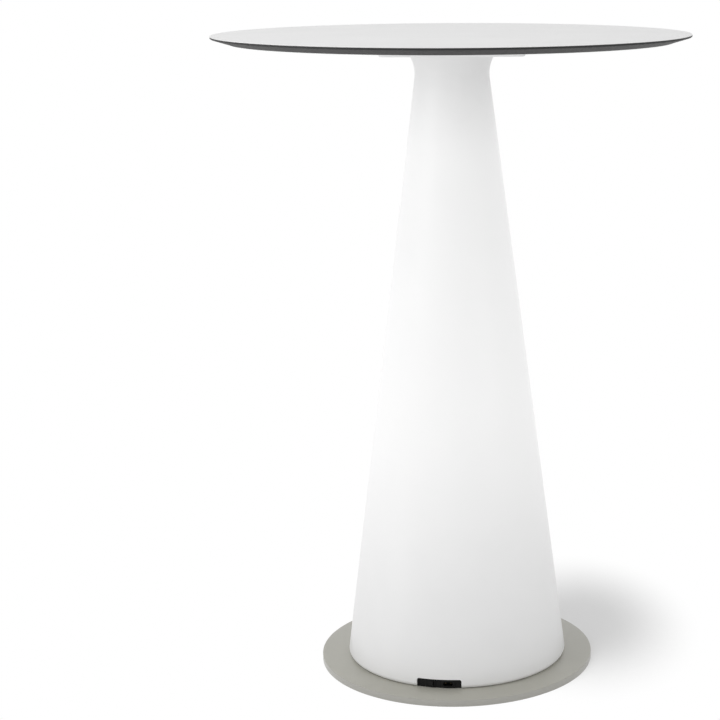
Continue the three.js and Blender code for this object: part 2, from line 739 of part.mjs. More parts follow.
const boardBack = postWidth / 2 + gap;
const tongueSlot = box(
  connectorTongueWidth + 2 * gap, postWidth / 2 + overrun, connectorTongueHeight + 2 * gap,
).translate(0, -(postWidth / 2 + overrun) / 2, connectorBottom + connectorHeight / 2 - gap);
const post = cut(
  box(postWidth, postWidth, postLength),
  disc(postBore, postLength + 2 * overrun, screwSides).translate(0, 0, -overrun),
  leadSlot.clone().translate(0, 0, -lampFootThickness),
  tongueSlot.clone().translate(0, 0, -lampFootThickness),
);
add('lamp_post', post, aluminium, lampFootThickness, notchGroup);
const connector = join(
  box(connectorWidth, connectorWidth, connectorHeight),
  box(connectorTongueWidth, boardBack - gap, connectorTongueHeight)
    .translate(0, -(boardBack - gap) / 2, connectorHeight / 2),
);
add('feed_connector', connector, whiteCoat, connectorBottom, notchGroup);

// Light boards, one on each face of the post, with their light chips
const boardFace = boardBack + boardThickness;
const chipPitch = boardLength / chipsPerBoard;
const chipRow = Array.from({ length: chipsPerBoard }, (_, i) => (
  box(chipWidth, chipHeight + boardThickness / 2, chipWidth)
    .translate(0, -boardFace - chipHeight / 2 + boardThickness / 4, (i + 1 / 2) * chipPitch)
));
const board = join(
  box(boardWidth, boardThickness, boardLength).translate(0, -boardBack - boardThickness / 2, 0),
  mergeGeometries(chipRow),
);
for (let quarter = 0; quarter < 4; quarter += 1) {
  const turned = board.clone().rotateZ(quarter * Math.PI / 2);
  add(`led_board_${quarter + 1}`, turned, boardWhite, boardStart, notchGroup);
}

add('lamp_diffuser', ring(
  diffuserRadius - diffuserWall, diffuserRadius, diffuserLength, middleSides,
), opalPlastic, diffuserBottom, notchGroup);

// End caps, drawn as the lower one with its hub below; the upper one is the same turned over
const capRadius = diffuserRadius + gap + capLip;
const hubWall = capHubRadius - postWidth / 2;
const grubHeight = capHubHeight / 2;
const cap = cut(
  join(
    disc(capRadius, capThickness + capRimHeight, middleSides).translate(0, 0, -capThickness),
    disc(capHubRadius, capHubHeight + capThickness / 2, middleSides)
      .translate(0, 0, -capThickness - capHubHeight),
  ),
  disc(diffuserRadius + gap, capRimHeight + overrun, middleSides),
  box(postWidth + 2 * gap, postWidth + 2 * gap, capHubHeight + capThickness + 2 * overrun)
    .translate(0, 0, -capThickness - capHubHeight - overrun),
  new THREE.CylinderGeometry(grubScrewRadius + gap, grubScrewRadius + gap, capRadius, screwSides)
    .translate(0, -capRadius / 2, -capThickness - grubHeight),
);
const grubLength = hubWall - 2 * gap;
const grubScrew = new THREE.CylinderGeometry(grubScrewRadius, grubScrewRadius, grubLength, screwSides)
  .translate(0, -postWidth / 2 - gap - grubLength / 2, -capThickness - grubHeight);
const upperSide = (geometry) => geometry.clone().rotateX(Math.PI).translate(0, 0, diffuserLength);
add('lower_cap', cap, greyPlastic, diffuserBottom, notchGroup);
add('lower_cap_screw', grubScrew, zincSteel, diffuserBottom, notchGroup);
add('upper_cap', upperSide(cap), greyPlastic, diffuserBottom, notchGroup);
add('upper_cap_screw', upperSide(grubScrew), zincSteel, diffuserBottom, notchGroup);
const endPlug = join(
  box(postWidth, postWidth, endPlugThickness),
  disc(postBore - gap, endPlugSpigot + overrun, screwSides).translate(0, 0, -endPlugSpigot),
);
add('post_end_plug', endPlug, blackPlastic, lampFootThickness + postLength, notchGroup);

export default table;
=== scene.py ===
# Looks of the light-up bar table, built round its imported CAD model
# Metres, +Z up, origin on the floor under the middle of the base, -Y the side with the notch
import json
import math

import bmesh
import bpy
from mathutils import Matrix, Vector

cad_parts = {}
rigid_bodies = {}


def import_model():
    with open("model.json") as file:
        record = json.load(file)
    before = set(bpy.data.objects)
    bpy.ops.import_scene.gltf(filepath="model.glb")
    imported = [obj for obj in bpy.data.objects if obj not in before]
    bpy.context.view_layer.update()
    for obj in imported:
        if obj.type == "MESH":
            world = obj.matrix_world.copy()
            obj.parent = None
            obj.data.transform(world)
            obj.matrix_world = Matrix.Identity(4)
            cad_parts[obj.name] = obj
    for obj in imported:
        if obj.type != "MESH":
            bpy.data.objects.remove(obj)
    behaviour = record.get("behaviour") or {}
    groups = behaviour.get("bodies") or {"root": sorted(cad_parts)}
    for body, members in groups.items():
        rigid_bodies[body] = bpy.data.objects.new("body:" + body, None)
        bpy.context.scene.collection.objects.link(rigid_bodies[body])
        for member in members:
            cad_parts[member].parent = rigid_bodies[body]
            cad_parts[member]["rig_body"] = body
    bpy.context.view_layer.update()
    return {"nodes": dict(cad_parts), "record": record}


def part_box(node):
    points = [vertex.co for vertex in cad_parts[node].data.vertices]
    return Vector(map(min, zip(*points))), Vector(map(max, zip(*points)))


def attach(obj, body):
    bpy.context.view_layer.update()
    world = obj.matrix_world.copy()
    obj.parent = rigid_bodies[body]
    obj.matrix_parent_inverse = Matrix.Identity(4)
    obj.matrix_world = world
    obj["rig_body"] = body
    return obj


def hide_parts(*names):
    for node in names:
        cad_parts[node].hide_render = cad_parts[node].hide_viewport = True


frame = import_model()
print("frame loaded:", len(frame["nodes"]), "nodes")

mm = 0.001
hair = 0.001 * mm  # corners nearer than this are one
through = 1 * mm  # how far a cutter passes the face that it opens
boltCount = 4  # of screws, bolts and glides alike


# Camera, stage and lamps
photoCamera = {
    "place": (0.0, -3.1529, 1.2582),
    "lens": 93.121,
    "sensor": 36.0,
    "downBy": 12.810,
    "leftBy": -1.432,
    "leanBy": 0.184,
    "shiftX": -0.1944,
}
stageSizes = {
    "floor": 14.0,
    "floorColour": (0.85, 0.85, 0.85, 1),
    "white": (1.0, 1.0, 1.0, 1),
    # The floor shows paper, and with it the table's cast shadow, only in a painted patch round
    # shadowMiddle and is white beyond it, so the patch sets where the shadow shows and how far it
    # reaches
    "shadowMiddle": (0.235, 0.155, 0),
    "shadowStretch": (1.25, 0.7, 1),  # the soft patch round it is longer in depth than across
    "shadowFades": (0.05, 0.28),  # distances over which the floor goes from paper to white
    "whiteShare": (0.10, 1.0),
    "worldLight": 0.68,  # on the object, while the camera sees white
}
softboxes = {
    "upperBox": {
        "from": (-1.4, -0.8, 3.6), "at": (0, 0, 1.0), "size": (1.4, 1.4), "watts": 17,
    },
    "lowBox": {
        "from": (-0.75, -0.51, 1.0), "at": (0, 0, 0.95), "size": (0.5, 0.5), "watts": 1.4,
    },
    "footBox": {
        "from": (-0.9, -0.42, 0.12), "at": (0, 0, 0.03), "size": (0.5, 0.2), "watts": 0.5,
    },
    "fillBox": {
        "from": (0.62, -0.55, 0.62), "at": (0, 0, 0.58), "size": (0.4, 0.4), "watts": 0.6,
    },
}


def makeCamera(cam):
    data = bpy.data.cameras.new("photoCamera")
    data.lens = cam["lens"]
    data.sensor_width = cam["sensor"]
    data.shift_x = cam["shiftX"]
    data.dof.use_dof = False
    holder = bpy.data.objects.new("photoCamera", data)
    bpy.context.scene.collection.objects.link(holder)
    turn = Matrix.Rotation(math.radians(cam["leftBy"]), 4, "Z")
    tilt = Matrix.Rotation(math.radians(90 - cam["downBy"]), 4, "X")
    lean = Matrix.Rotation(math.radians(-cam["leanBy"]), 4, "Z")
    holder.matrix_world = Matrix.Translation(cam["place"]) @ turn @ tilt @ lean
    bpy.context.scene.camera = holder


def whiteForTheEye(nodes, links, shade, plain, lit):
    # plain is what lights the object, and lit is what the camera, gloss and glass see
    path = nodes.new("ShaderNodeLightPath")
    gloss = nodes.new("ShaderNodeMath")
    glass = nodes.new("ShaderNodeMath")
    mix = nodes.new("ShaderNodeMixShader")
    for node in (gloss, glass):
        node.operation = "MAXIMUM"
    links.new(path.outputs["Is Camera Ray"], gloss.inputs[0])
    links.new(path.outputs["Is Glossy Ray"], gloss.inputs[1])
    links.new(gloss.outputs[0], glass.inputs[0])
    links.new(path.outputs["Is Transmission Ray"], glass.inputs[1])
    links.new(glass.outputs[0], mix.inputs["Fac"])
    links.new(plain, mix.inputs[1])
    links.new(lit, mix.inputs[2])
    links.new(mix.outputs[0], shade)


def makeStage(sizes):
    material = bpy.data.materials.new("floorPaper")
    material.use_nodes = True
    nodes, links = material.node_tree.nodes, material.node_tree.links
    nodes.clear()
    out = nodes.new("ShaderNodeOutputMaterial")
    paper = nodes.new("ShaderNodeBsdfDiffuse")
    paper.inputs["Color"].default_value = sizes["floorColour"]
    glow = nodes.new("ShaderNodeEmission")
    glow.inputs["Color"].default_value = sizes["white"]
    coords = nodes.new("ShaderNodeTexCoord")
    offset = nodes.new("ShaderNodeVectorMath")
    offset.operation = "SUBTRACT"
    offset.inputs[1].default_value = sizes["shadowMiddle"]
    stretched = nodes.new("ShaderNodeVectorMath")
    stretched.operation = "MULTIPLY"
    stretched.inputs[1].default_value = sizes["shadowStretch"]
    away = nodes.new("ShaderNodeVectorMath")
    away.operation = "LENGTH"
    share = nodes.new("ShaderNodeMapRange")
    share.interpolation_type = "SMOOTHSTEP"
    for socket, value in zip(
        ("From Min", "From Max", "To Min", "To Max"), sizes["shadowFades"] + sizes["whiteShare"],
    ):
        share.inputs[socket].default_value = value
    # paper, with its cast shadow, inside the painted patch, white emission outside it
    both = nodes.new("ShaderNodeMixShader")
    links.new(coords.outputs["Object"], offset.inputs[0])
    links.new(offset.outputs["Vector"], stretched.inputs[0])
    links.new(stretched.outputs["Vector"], away.inputs[0])
    links.new(away.outputs["Value"], share.inputs["Value"])
    links.new(share.outputs["Result"], both.inputs["Fac"])
    links.new(paper.outputs[0], both.inputs[1])
    links.new(glow.outputs[0], both.inputs[2])
    whiteForTheEye(nodes, links, out.inputs["Surface"], paper.outputs[0], both.outputs[0])
    shape = bmesh.new()
    bmesh.ops.create_grid(shape, x_segments=1, y_segments=1, size=sizes["floor"] / 2)
    mesh = bpy.data.meshes.new("floorSheet")
    shape.to_mesh(mesh)
    shape.free()
    mesh.materials.append(material)
    floor = bpy.data.objects.new("floorSheet", mesh)
    bpy.context.scene.collection.objects.link(floor)

    world = bpy.data.worlds.new("studioAir")
    bpy.context.scene.world = world
    world.use_nodes = True
    nodes, links = world.node_tree.nodes, world.node_tree.links
    nodes.clear()
    out = nodes.new("ShaderNodeOutputWorld")
    dim = nodes.new("ShaderNodeBackground")
    bright = nodes.new("ShaderNodeBackground")
    for node in (dim, bright):
        node.inputs["Color"].default_value = sizes["white"]
    dim.inputs["Strength"].default_value = sizes["worldLight"]
    bright.inputs["Strength"].default_value = 1
    whiteForTheEye(nodes, links, out.inputs["Surface"], dim.outputs[0], bright.outputs[0])


def makeLamps(boxes):
    for name, lamp in boxes.items():
        data = bpy.data.lights.new(name, "AREA")
        data.shape = "RECTANGLE"
        data.size, data.size_y = lamp["size"]
        data.energy = lamp["watts"]
        holder = bpy.data.objects.new(name, data)
        bpy.context.scene.collection.objects.link(holder)
        holder.location = lamp["from"]
        aim = Vector(lamp["at"]) - Vector(lamp["from"])
        holder.rotation_mode = "QUATERNION"
        holder.rotation_quaternion = aim.to_track_quat("-Z", "Y")


bpy.context.scene.view_settings.view_transform = "Standard"
makeCamera(photoCamera)
makeStage(stageSizes)
makeLamps(softboxes)
print("camera, floor, air and lamps made")


# Finishes
def newGroup(name, inputs, outputs):
    tree = bpy.data.node_groups.new(name, "ShaderNodeTree")
    for socket, kind, value in inputs:
        made = tree.interface.new_socket(socket, in_out="INPUT", socket_type=kind)
        if value is not None:
            made.default_value = value
    for socket, kind in outputs:
        tree.interface.new_socket(socket, in_out="OUTPUT", socket_type=kind)
    return tree, tree.nodes.new("NodeGroupInput"), tree.nodes.new("NodeGroupOutput")


def makeGrain():
    # Noise between two values, drawn out along each axis as Stretch says
    tree, start, end = newGroup("grain", [
        ("Place", "NodeSocketVector", None),
        ("Stretch", "NodeSocketVector", (1, 1, 1)),
        ("Scale", "NodeSocketFloat", 400),
        ("Detail", "NodeSocketFloat", 3),
        ("Low", "NodeSocketFloat", 0),
        ("High", "NodeSocketFloat", 1),
    ], [("Value", "NodeSocketFloat")])
    nodes, links = tree.nodes, tree.links
    scale = nodes.new("ShaderNodeVectorMath")
    scale.operation = "MULTIPLY"
    noise = nodes.new("ShaderNodeTexNoise")
    spread = nodes.new("ShaderNodeMapRange")
    # most of the noise lies between these two
    spread.inputs["From Min"].default_value = 0.3
    spread.inputs["From Max"].default_value = 0.7
    links.new(start.outputs["Place"], scale.inputs[0])
    links.new(start.outputs["Stretch"], scale.inputs[1])
    links.new(scale.outputs[0], noise.inputs["Vector"])
    links.new(start.outputs["Scale"], noise.inputs["Scale"])
    links.new(start.outputs["Detail"], noise.inputs["Detail"])
    links.new(noise.outputs["Fac"], spread.inputs["Value"])
    links.new(start.outputs["Low"], spread.inputs["To Min"])
    links.new(start.outputs["High"], spread.inputs["To Max"])
    links.new(spread.outputs["Result"], end.inputs["Value"])
    return tree


def makeTwoTone():
    # Two colours blended by a mask
    tree, start, end = newGroup("twoTone", [
        ("Mask", "NodeSocketFloat", 0.5),
        ("First", "NodeSocketColor", (0.5, 0.5, 0.5, 1)),
        ("Second", "NodeSocketColor", (0.6, 0.6, 0.6, 1)),
    ], [("Colour", "NodeSocketColor")])
    mix = tree.nodes.new("ShaderNodeMix")
    mix.data_type = "RGBA"
    tree.links.new(start.outputs["Mask"], mix.inputs["Factor"])
    tree.links.new(start.outputs["First"], mix.inputs["A"])
    tree.links.new(start.outputs["Second"], mix.inputs["B"])
    tree.links.new(mix.outputs["Result"], end.inputs["Colour"])
    return tree


def makeHeightMask():
    # 0 below Bottom and 1 above Top, by height over the floor
    tree, start, end = newGroup("heightMask", [
        ("Place", "NodeSocketVector", None),
        ("Bottom", "NodeSocketFloat", 0),
        ("Top", "NodeSocketFloat", 1),
    ], [("Mask", "NodeSocketFloat")])
    nodes, links = tree.nodes, tree.links
    split = nodes.new("ShaderNodeSeparateXYZ")
    ramp = nodes.new("ShaderNodeMapRange")
    ramp.interpolation_type = "SMOOTHSTEP"
    links.new(start.outputs["Place"], split.inputs[0])
    links.new(split.outputs["Z"], ramp.inputs["Value"])
    links.new(start.outputs["Bottom"], ramp.inputs["From Min"])
    links.new(start.outputs["Top"], ramp.inputs["From Max"])
    links.new(ramp.outputs["Result"], end.inputs["Mask"])
    return tree


groups = {"grain": makeGrain(), "twoTone": makeTwoTone(), "heightMask": makeHeightMask()}


class Finish:
    # A material under way: its tree, its shader and short ways to add to them
    def __init__(self, name, roughness=0.5, **sockets):
        self.material = bpy.data.materials.new(name)
        self.material.use_nodes = True
        self.nodes = self.material.node_tree.nodes
        self.links = self.material.node_tree.links
        self.shader = self.nodes["Principled BSDF"]
        self.shader.inputs["Roughness"].default_value = roughness
        for socket, value in sockets.items():
            self.shader.inputs[socket.replace("_", " ")].default_value = value
        self.place = self.nodes.new("ShaderNodeTexCoord").outputs["Object"]

    def group(self, kind, **values):
        node = self.nodes.new("ShaderNodeGroup")
        node.node_tree = groups[kind]
        for socket, value in values.items():
            if isinstance(value, bpy.types.NodeSocket):
                self.links.new(value, node.inputs[socket])
            else:
                node.inputs[socket].default_value = value
        if "Place" in node.inputs:
            self.links.new(self.place, node.inputs["Place"])
        return node.outputs[0]

    def feed(self, value, socket):
        self.links.new(value, self.shader.inputs[socket])

    def bump(self, height, depth, strength=1.0):
        node = self.nodes.new("ShaderNodeBump")
        node.inputs["Strength"].default_value = strength
        node.inputs["Distance"].default_value = depth
        self.links.new(height, node.inputs["Height"])
        self.feed(node.outputs["Normal"], "Normal")


def grey(value):
    return (value, value, value, 1)


# Surfaces that differ only in colour, grain and gloss
plainFinishes = {
    "whiteLaminate": {
        "colours": (grey(0.83), grey(0.855)), "patch": 9, "roughness": (0.42, 0.52),
        "grain": 1400, "depth": 0.02 * mm, "specular": 0.4,
    },
    "powderCoat": {
        "colours": (grey(0.89), grey(0.91)), "patch": 40, "roughness": (0.38, 0.5),
        "grain": 900, "depth": 0.03 * mm, "specular": 0.4,
    },
    "blackMoulding": {
        "colours": (grey(0.006), grey(0.010)), "patch": 60, "roughness": (0.5, 0.62),
        "grain": 2600, "depth": 0.02 * mm, "specular": 0.2,
    },
    "blackRubber": {
        "colours": (grey(0.012), grey(0.02)), "patch": 120, "roughness": (0.75, 0.9),
        "grain": 1800, "depth": 0.03 * mm, "specular": 0.25,
    },
    "greyMoulding": {
        "colours": ((0.25, 0.26, 0.28, 1), (0.28, 0.29, 0.31, 1)), "patch": 50,
        "roughness": (0.45, 0.6), "grain": 2200, "depth": 0.02 * mm, "specular": 0.4,
    },
    "opalPlastic": {
        "colours": ((0.9, 0.9, 0.86, 1), (0.93, 0.93, 0.9, 1)), "patch": 20,
        "roughness": (0.3, 0.42), "grain": 700, "depth": 0.01 * mm, "specular": 0.5,
    },
    "boardMask": {
        "colours": ((0.82, 0.82, 0.77, 1), (0.87, 0.87, 0.83, 1)), "patch": 180,
        "roughness": (0.3, 0.45), "grain": 1500, "depth": 0.01 * mm, "specular": 0.5,
    },
}
metalFinishes = {
    "zincSteel": {
        "colours": ((0.5, 0.51, 0.53, 1), (0.62, 0.63, 0.65, 1)), "patch": 260,
        "roughness": (0.3, 0.48), "stretch": (1, 1, 1), "grain": 1600, "depth": 0.01 * mm,
    },
    "brass": {
        "colours": ((0.56, 0.40, 0.15, 1), (0.66, 0.5, 0.22, 1)), "patch": 300,
        "roughness": (0.28, 0.42), "stretch": (1, 0.1, 1), "grain": 2400, "depth": 0.01 * mm,
    },
    # near-black brass for the inlet's pins: painted shade, for the dark deep in the inlet's recess
    "tarnishedBrass": {
        "colours": ((0.045, 0.036, 0.022, 1), (0.075, 0.058, 0.034, 1)), "patch": 300,
        "roughness": (0.45, 0.6), "stretch": (1, 0.1, 1), "grain": 2400, "depth": 0.01 * mm,
    },
    "aluminium": {
        "colours": ((0.55, 0.56, 0.58, 1), (0.63, 0.64, 0.66, 1)), "patch": 40,
        "roughness": (0.3, 0.44), "stretch": (1, 1, 0.02), "grain": 1800, "depth": 0.01 * mm,
    },
}
finishes = {}


def makePlain(name, look):
    finish = Finish(name, Specular_IOR_Level=look["specular"])
    patch = finish.group("grain", Scale=look["patch"], Detail=4.0)
    finish.feed(finish.group(
        "twoTone", Mask=patch, First=look["colours"][0], Second=look["colours"][1],
    ), "Base Color")
    low, high = look["roughness"]
    finish.feed(finish.group("grain", Scale=look["grain"] / 4, Low=low, High=high), "Roughness")
    finish.bump(finish.group("grain", Scale=look["grain"]), look["depth"])
    finishes[name] = finish.material


def makeMetal(name, look):
    finish = Finish(name, Metallic=1.0)
    patch = finish.group("grain", Scale=look["patch"], Detail=4.0)
    finish.feed(finish.group(
        "twoTone", Mask=patch, First=look["colours"][0], Second=look["colours"][1],
    ), "Base Color")
    low, high = look["roughness"]
    lines = finish.group("grain", Scale=look["grain"], Stretch=look["stretch"], Low=low, High=high)
    finish.feed(lines, "Roughness")
    finish.bump(
        finish.group("grain", Scale=look["grain"], Stretch=look["stretch"]), look["depth"],
    )
    finishes[name] = finish.material


for name, look in plainFinishes.items():
    makePlain(name, look)
for name, look in metalFinishes.items():
    makeMetal(name, look)

litShell = {
    "colours": (grey(0.86), grey(0.875)),
    "glow": (0.19, 0.19, 0.19, 1),
    "glowStarts": (-0.04, 0.50),  # heights between which the glow comes up
    "glowEnds": (0.88, 1.09),  # and between which it fades under the top
    "roughness": (0.36, 0.46), "specular": 0.35, "patch": 14.0, "smear": 160.0, "grain": 650.0,
    "depth": 0.02 * mm,
}


def makeLitShell(look):
    finish = Finish("litShell", Specular_IOR_Level=look["specular"], Emission_Strength=1.0)
    patch = finish.group("grain", Scale=look["patch"], Detail=4.0)
    finish.feed(finish.group(
        "twoTone", Mask=patch, First=look["colours"][0], Second=look["colours"][1],
    ), "Base Color")
    rise = finish.group("heightMask", Bottom=look["glowStarts"][0], Top=look["glowStarts"][1])
    fall = finish.group("heightMask", Bottom=look["glowEnds"][1], Top=look["glowEnds"][0])
    both = finish.nodes.new("ShaderNodeMath")
    both.operation = "MULTIPLY"
    finish.links.new(rise, both.inputs[0])
    finish.links.new(fall, both.inputs[1])
    finish.feed(finish.group(
        "twoTone", Mask=both.outputs[0], First=grey(0), Second=look["glow"],
    ), "Emission Color")
    low, high = look["roughness"]
    finish.feed(finish.group("grain", Scale=look["smear"], Low=low, High=high), "Roughness")
    finish.bump(finish.group("grain", Scale=look["grain"]), look["depth"])
    finishes["litShell"] = finish.material


makeLitShell(litShell)

coreBoard = {
    "colours": (grey(0.034), grey(0.046)),
    "sheets": (1, 1, 60),  # the pressed sheets of the core lie flat, so they show as level lines
    "roughness": (0.5, 0.62), "specular": 0.15, "grain": 40.0, "smear": 300.0,
    "depth": 0.02 * mm,
}


def makeCoreBoard(look):
    finish = Finish("coreBoard", Specular_IOR_Level=look["specular"])
    sheets = finish.group("grain", Scale=look["grain"], Stretch=look["sheets"], Detail=5.0)
    finish.feed(finish.group(
        "twoTone", Mask=sheets, First=look["colours"][0], Second=look["colours"][1],
    ), "Base Color")
    low, high = look["roughness"]
    finish.feed(finish.group("grain", Scale=look["smear"], Low=low, High=high), "Roughness")
    finish.bump(sheets, look["depth"])
    finishes["coreBoard"] = finish.material


makeCoreBoard(coreBoard)

greyCoat = {
    "face": ((0.385, 0.378, 0.333, 1), (0.40, 0.393, 0.347, 1)),
    # lighter than the face: painted reflection, standing in for the bright surroundings that the
    # rim mirrors
    "edge": (0.43, 0.423, 0.39, 1),
    "faceStarts": (0.0112, 0.0125),  # heights between which the edge goes over into the face
    "roughness": (0.28, 0.34), "cloud": 18.0, "smear": 275.0, "grain": 1100.0,
    "depth": 0.012 * mm,
}


def makeGreyCoat(look):
    finish = Finish("greyCoat")
    cloud = finish.group("grain", Scale=look["cloud"], Detail=4.0)
    face = finish.group("twoTone", Mask=cloud, First=look["face"][0], Second=look["face"][1])
    high = finish.group("heightMask", Bottom=look["faceStarts"][0], Top=look["faceStarts"][1])
    # the edge and underside, below faceStarts, take the lighter edge colour as a painted reflection
    finish.feed(finish.group("twoTone", Mask=high, First=look["edge"], Second=face), "Base Color")
    low, high = look["roughness"]
    finish.feed(finish.group("grain", Scale=look["smear"], Low=low, High=high), "Roughness")
    finish.bump(finish.group("grain", Scale=look["grain"]), look["depth"])
    finishes["greyCoat"] = finish.material


makeGreyCoat(greyCoat)

print("finishes made:", len(finishes))

# Every CAD node gets its finish by the record's slot
slotFinishes = {
    "white_laminate": "whiteLaminate", "dark_core": "coreBoard", "white_steel": "powderCoat",
    "lit_plastic": "litShell", "grey_steel": "greyCoat", "zinc_steel": "zincSteel",
    "brass": "brass", "aluminium": "aluminium", "black_plastic": "blackMoulding",
    "black_rubber": "blackRubber", "grey_plastic": "greyMoulding", "opal_plastic": "opalPlastic",
    "white_board": "boardMask",
}
nodeSlots = {row["node"]: row["material_slot"] for row in frame["record"]["subparts"]}
# but the inlet's pins get a near-black brass: painted shade, standing in for the dark deep in the
# inlet's recess
ownFinishes = {"inlet_pin_1": "tarnishedBrass", "inlet_pin_2": "tarnishedBrass"}
for name, node in frame["nodes"].items():
    node.data.materials.clear()
    node.data.materials.append(finishes[ownFinishes.get(name, slotFinishes[nodeSlots[name]])])


# Pieces
def bodyOf(node):
    return frame["nodes"][node]["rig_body"]


def place(name, shape, nodes, sharpOver=35):
    # A finished piece in place of CAD nodes, with the finish of the first one
    mesh = bpy.data.meshes.new(name)
    shape.to_mesh(mesh)
    shape.free()
    return placeMesh(name, mesh, nodes, sharpOver)


def placeMesh(name, mesh, nodes, sharpOver=35):
    mesh.materials.clear()
    mesh.materials.append(finishes[slotFinishes[nodeSlots[nodes[0]]]])
    mesh.shade_smooth()
    mesh.set_sharp_from_angle(angle=math.radians(sharpOver))
    piece = bpy.data.objects.new(name, mesh)
    bpy.context.scene.collection.objects.link(piece)
    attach(piece, bodyOf(nodes[0]))
    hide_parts(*nodes)
    return piece


def revolve(points, steps, closed=False):
    # Turn a line of radius and height once round the Z axis
    shape = bmesh.new()
    corners = [shape.verts.new((radius, 0, height)) for radius, height in points]
    lines = [shape.edges.new(pair) for pair in zip(corners, corners[1:])]
    if closed:
        lines.append(shape.edges.new((corners[-1], corners[0])))
    bmesh.ops.spin(
        shape, geom=corners + lines, cent=(0, 0, 0), axis=(0, 0, 1), dvec=(0, 0, 0),
        angle=2 * math.pi, steps=steps, use_merge=True, use_normal_flip=False, use_duplicate=False,
    )
    bmesh.ops.remove_doubles(shape, verts=shape.verts[:], dist=hair)
    bmesh.ops.recalc_face_normals(shape, faces=shape.faces[:])
    return shape


def arcPoints(centre, halfWidth, halfHeight, fromAngle, toAngle, steps):
    angles = [fromAngle + (toAngle - fromAngle) * i / steps for i in range(steps + 1)]
    return [
        (centre[0] + halfWidth * math.cos(a), centre[1] + halfHeight * math.sin(a)) for a in angles
    ]


def boolean(operation, shape, other):
    # The exact union or difference of two closed shapes, as a new shape
    solids = []
    for name, source in (("kept", shape), ("other", other)):
        mesh = bpy.data.meshes.new(name)
        source.to_mesh(mesh)
        source.free()
        solid = bpy.data.objects.new(name, mesh)
        bpy.context.scene.collection.objects.link(solid)
        solids.append(solid)
    kept, tool = solids
    step = kept.modifiers.new("step", "BOOLEAN")
    step.operation = operation
    step.solver = "EXACT"
    step.object = tool
    graph = bpy.context.evaluated_depsgraph_get()
    graph.update()
    made = bmesh.new()
    made.from_mesh(bpy.data.meshes.new_from_object(kept.evaluated_get(graph)))
    for solid in solids:
        bpy.data.objects.remove(solid)
    return made


def cutAway(shape, cutter):
    return boolean("DIFFERENCE", shape, cutter)


def roundedBlock(width, depth, corner, bottom, top, lowEdge=0):
    # Upright block with rounded corners and, where asked for, a rounded edge round its underside
    shape = bmesh.new()
    bmesh.ops.create_grid(
        shape, x_segments=1, y_segments=1, size=0.5, matrix=Matrix.Diagonal((width, depth, 1, 1)),
    )
    bmesh.ops.bevel(
        shape, geom=shape.verts[:], offset=corner, offset_type="OFFSET", affect="VERTICES",
        segments=8, profile=0.5, material=-1,
    )
    bmesh.ops.translate(shape, verts=shape.verts[:], vec=(0, 0, bottom))
    grown = bmesh.ops.extrude_face_region(shape, geom=shape.faces[:])
    lifted = [v for v in grown["geom"] if isinstance(v, bmesh.types.BMVert)]
    bmesh.ops.translate(shape, verts=lifted, vec=(0, 0, top - bottom))
    bmesh.ops.recalc_face_normals(shape, faces=shape.faces[:])
    if lowEdge > 0:
        under = [e for e in shape.edges if all(v.co.z < (bottom + top) / 2 for v in e.verts)]
        bmesh.ops.bevel(
            shape, geom=under, offset=lowEdge, offset_type="OFFSET", affect="EDGES", segments=4,
            profile=0.5, material=-1, clamp_overlap=True,
        )
    return shape


def facing(width, height, corner, front, back, frontEdge=0):
    # The same block lying along Y, its front towards -Y
    shape = roundedBlock(width, height, corner, front, back, frontEdge)
    bmesh.ops.rotate(
        shape, verts=shape.verts[:], cent=(0, 0, 0), matrix=Matrix.Rotation(-math.pi / 2, 3, "X"),
    )
    return shape


def rod(radius, start, end, steps=24):
    along = Vector(end) - Vector(start)
    turn = along.to_track_quat("Z", "Y").to_matrix().to_4x4()
    shape = bmesh.new()
    bmesh.ops.create_cone(
        shape, cap_ends=True, segments=steps, radius1=radius, radius2=radius, depth=along.length,
        matrix=Matrix.Translation((Vector(start) + Vector(end)) / 2) @ turn,
    )
    return shape


# Table top: white face sheet, dark core bevelled underneath, white backing sheet
topSizes = {
    "radius": 400 * mm, "bevelRun": 30 * mm, "edgeLand": 3 * mm, "edgeEase": 0.3 * mm, "steps": 240,
    "faceRing": 6 * mm,  # from the edge in to the next ring of corners on the face
    "bevelRing": 4 * mm,  # and from the start of the bevel in to the next one underneath
}


def makeTop(sizes):
    steps, radius, ease = sizes["steps"], sizes["radius"], sizes["edgeEase"]
    under = radius - sizes["bevelRun"]
    low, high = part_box("top_face_sheet")
    face = revolve([
        (0, low.z), (radius, low.z),
        *arcPoints((radius - ease, high.z - ease), ease, ease, 0, math.pi / 2, 4),
        (radius - sizes["faceRing"], high.z), (0, high.z),
    ], steps)
    place("topFaceSheet", face, ["top_face_sheet"])
    low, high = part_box("top_core")
    slope = (high.z - sizes["edgeLand"] - low.z) / sizes["bevelRun"]
    core = revolve([
        (0, low.z), (under - sizes["bevelRing"], low.z), (under, low.z),
        (radius - 4 * ease, high.z - sizes["edgeLand"] - 4 * ease * slope),
        (radius, high.z - sizes["edgeLand"] + 2 * ease), (radius, high.z), (0, high.z),
    ], steps)
    place("topCore", core, ["top_core"], sharpOver=12)
    low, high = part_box("top_backing_sheet")
    back = revolve([
        (0, low.z), (under - ease, low.z), (under, low.z + ease), (under, high.z), (0, high.z),
    ], steps)
    place("topBackingSheet", back, ["top_backing_sheet"])


makeTop(topSizes)

# Pan between the top and the stem, pressed from one sheet
panSizes = {
    "width": 238 * mm, "sheet": 2.5 * mm, "flange": 22 * mm, "corner": 10 * mm, "bend": 3.5 * mm,
}


